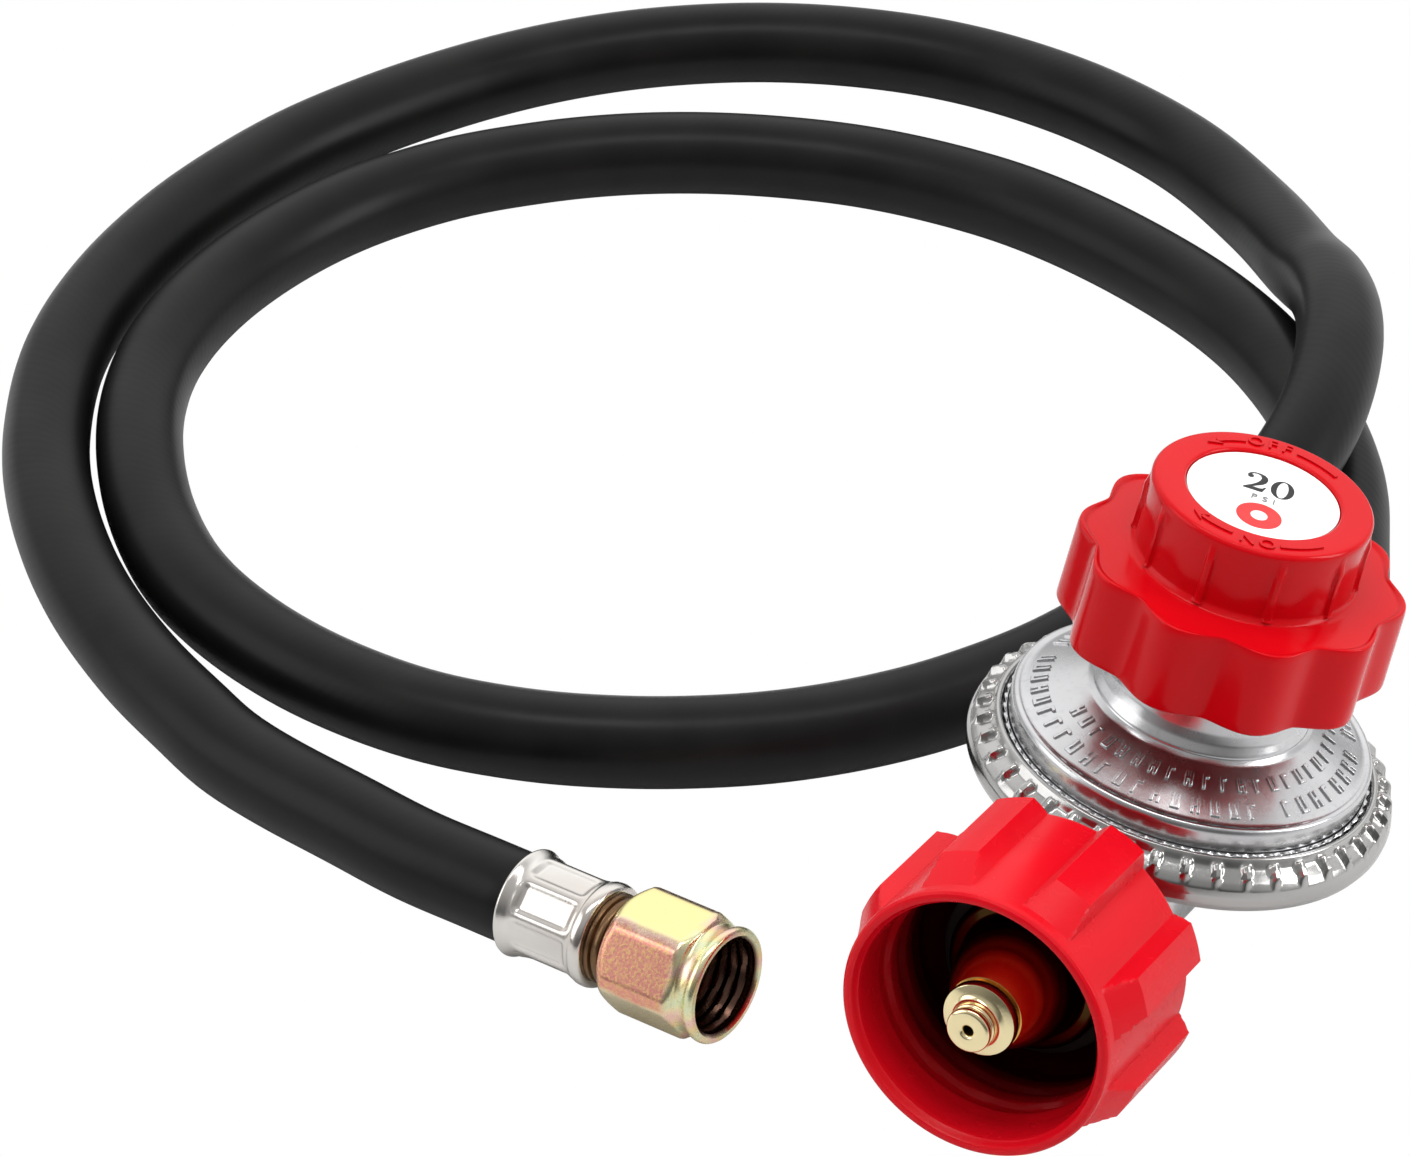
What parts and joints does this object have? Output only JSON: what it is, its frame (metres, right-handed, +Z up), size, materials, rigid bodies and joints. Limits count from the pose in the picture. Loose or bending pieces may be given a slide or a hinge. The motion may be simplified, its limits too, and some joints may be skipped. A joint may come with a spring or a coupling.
{
  "type": "propane regulator hose",
  "caption": "Adjustable propane regulator with a red control knob, a large hand-tightened bottle nut, and a coiled rubber hose that ends in a flare nut.",
  "frame": {"origin": "bottom centre of the whole object's bounding box, on the ground the coil lies on", "axes": "+Z up from the ground; the coil lies flat in X-Y with the regulator and both fittings on its -Y side; the regulator leans, with its gas line 8.65 degrees nose-up towards the bottle nut and its knob axis about 12.5 degrees off +Z"},
  "size_m": [0.2366, 0.33, 0.0856],
  "materials": {
    "knob_red": "glossy moulded red",
    "nut_red": "satin moulded red",
    "label_white": "white printed disc",
    "cast_aluminium": "satin die-cast, lightly speckled",
    "polished_band": "polished rolled band",
    "brass": "polished",
    "steel": "plain",
    "rubber": "matte black",
    "hose": "semi-matte black with a fine diagonal ripple",
    "nickel": "polished nickel plate",
    "zinc": "iridescent yellow zinc plate",
    "nylon": "matte dark"
  },
  "bodies": {
    "regulator": {"lower_body": "cast_aluminium", "crimp_ring": "polished_band", "bonnet": "cast_aluminium", "diaphragm": "rubber", "main_spring": "steel", "inlet_nipple": "brass", "nipple_o_ring": "rubber", "inlet_orifice": "brass", "lever_carrier": "steel", "lever_pin": "steel", "limiter_tip": "brass", "limiter_spring": "steel", "outlet_barb": "brass", "outlet_ferrule": "nickel", "hose_main": "hose"},
    "button": {"spring_button": "steel"},
    "knob": {"knob": "knob_red", "knob_label": "label_white", "adjusting_screw": "brass", "knob_screw": "steel"},
    "diaphragm_stack": {"diaphragm_plate": "steel", "diaphragm_rivet": "steel"},
    "lever": {"lever": "steel"},
    "plunger": {"valve_plunger": "brass", "seat_disc": "rubber"},
    "poppet": {"flow_poppet": "brass"},
    "bushing": {"thermal_bushing": "nylon"},
    "tank_nut": {"tank_nut": "nut_red"},
    "hose_link": {"hose_link": "hose"},
    "hose_tail": {"hose_tail": "hose", "flare_ferrule": "nickel", "flare_stem": "brass"},
    "flare_nut": {"flare_nut": "zinc"}
  },
  "joints": [
    {"name": "button_travel", "type": "slide", "parent": "regulator", "child": "button", "axis": [0.2099, 0.0547, 0.9762], "range_m": [-0.008, 0], "deforming": ["main_spring"]},
    {"name": "knob_turn", "type": "hinge", "parent": "button", "child": "knob", "pos_m": [0.07178, -0.09804, 0.0187], "axis": [0.2099, 0.0547, 0.9762], "range_deg": [-1440, 0]},
    {"name": "diaphragm_travel", "type": "slide", "parent": "regulator", "child": "diaphragm_stack", "axis": [0.2099, 0.0547, 0.9762], "range_m": [-0.0015, 0], "deforming": ["diaphragm", "main_spring"]},
    {"name": "lever_tilt", "type": "hinge", "parent": "regulator", "child": "lever", "pos_m": [0.06635, -0.10616, 0.01459], "axis": [0.8555, -0.4936, -0.1564], "range_deg": [-9.5, 0]},
    {"name": "plunger_travel", "type": "slide", "parent": "regulator", "child": "plunger", "axis": [-0.4732, -0.868, 0.1504], "range_m": [-0.00094, 0]},
    {"name": "poppet_travel", "type": "slide", "parent": "regulator", "child": "poppet", "axis": [-0.4732, -0.868, 0.1504], "range_m": [-0.002, 0], "deforming": ["limiter_spring"]},
    {"name": "bushing_slip", "type": "slide", "parent": "regulator", "child": "bushing", "axis": [-0.4732, -0.868, 0.1504], "range_m": [-0.002, 0]},
    {"name": "tank_nut_spin", "type": "hinge", "parent": "bushing", "child": "tank_nut", "pos_m": [0.07178, -0.09804, 0.0187], "axis": [-0.4732, -0.868, 0.1504], "continuous": true},
    {"name": "hose_swing", "type": "hinge", "parent": "regulator", "child": "hose_link", "pos_m": [-0.06617, -0.06937, 0.0076], "axis": [0, 0, 1], "range_deg": [-30, 25]},
    {"name": "hose_lift", "type": "hinge", "parent": "hose_link", "child": "hose_tail", "pos_m": [-0.04367, -0.08957, 0.0091], "axis": [-0.5939, -0.8045, 0], "range_deg": [0, 30]},
    {"name": "flare_nut_spin", "type": "hinge", "parent": "hose_tail", "child": "flare_nut", "pos_m": [0.00523, -0.12567, 0.0121], "axis": [0.8035, -0.5932, 0.0493], "continuous": true}
  ],
  "couplings": [
    {"joint": "button_travel", "follows": "knob_turn", "m_per_rad": 0.0003183},
    {"joint": "lever_tilt", "follows": "diaphragm_travel", "rad_per_m": 110.5},
    {"joint": "plunger_travel", "follows": "diaphragm_travel", "ratio": 0.6222}
  ]
}
